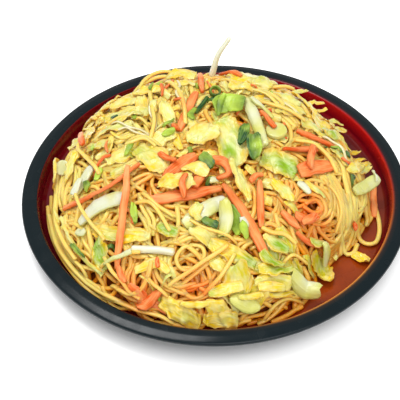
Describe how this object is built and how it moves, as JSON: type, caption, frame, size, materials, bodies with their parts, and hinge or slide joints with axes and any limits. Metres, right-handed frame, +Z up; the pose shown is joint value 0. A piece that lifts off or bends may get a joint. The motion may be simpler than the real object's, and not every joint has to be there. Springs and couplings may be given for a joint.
{
  "type": "yakisoba on a plate",
  "caption": "Mounded fried noodles with carrot strips, cabbage leaves, white ribs and green onion on a round shallow black and red plate.",
  "frame": {"origin": "centre of the plate's foot, on the surface it stands on", "axes": "+Z up, -Y towards the diner (the side nearest the camera), +X to the right"},
  "size_m": [0.2398, 0.2398, 0.0785],
  "materials": {
    "plate": "black lacquer rim over a dark red lacquered bowl",
    "noodles": "pale yellow noodles with a thin oily sheen",
    "carrot": "moist cooked carrot",
    "cabbage": "moist pale green to yellow leaf",
    "rib": "smooth whitish rib or onion",
    "scallion": "green leaf, dark to lime",
    "sprout": "nearly white and translucent"
  },
  "bodies": {
    "root": {"cabbage_back_left": "cabbage", "cabbage_back_right": "cabbage", "cabbage_band": "cabbage", "cabbage_centre_cup": "cabbage", "cabbage_crinkled": "cabbage", "cabbage_crown": "cabbage", "cabbage_curled_strip": "cabbage", "cabbage_dome": "cabbage", "cabbage_floor_front_right": "cabbage", "cabbage_front_crinkled": "cabbage", "cabbage_front_fall": "cabbage", "cabbage_front_middle": "cabbage", "cabbage_left_front": "cabbage", "cabbage_left_high": "cabbage", "cabbage_left_middle": "cabbage", "cabbage_right_edge": "cabbage", "cabbage_right_pale": "cabbage", "cabbage_rim_left": "cabbage", "cabbage_rim_middle": "cabbage", "cabbage_yellow_bar": "cabbage", "cabbage_yellow_front": "cabbage", "carrot_back_lower": "carrot", "carrot_back_tall": "carrot", "carrot_centre_back": "carrot", "carrot_centre_big": "carrot", "carrot_centre_curl": "carrot", "carrot_centre_low": "carrot", "carrot_front_rim": "carrot", "carrot_left_down": "carrot", "carrot_left_high": "carrot", "carrot_left_long": "carrot", "carrot_right_edge": "carrot", "carrot_right_flat": "carrot", "carrot_right_long": "carrot", "carrot_right_low": "carrot", "carrot_right_thick": "carrot", "carrot_right_thin": "carrot", "carrot_right_upright": "carrot", "noodles": "noodles", "plate": "plate", "rib_back_slant": "rib", "rib_big_left": "rib", "rib_centre": "rib", "rib_centre_leg": "rib", "rib_front_chunk": "rib", "rib_left_disc": "rib", "rib_left_strip": "rib", "rib_onion": "rib", "rib_right_strip": "rib", "rib_round_pale": "rib", "scallion_bright_strip": "scallion", "scallion_bundle": "scallion", "scallion_centre_leaf": "scallion", "scallion_dark_leaf": "scallion", "scallion_green_white": "scallion", "scallion_pale_leaf": "scallion", "scallion_ring": "scallion", "scallion_stick": "scallion", "sprout_bar": "sprout", "sprout_tall": "sprout"}
  },
  "joints": []
}
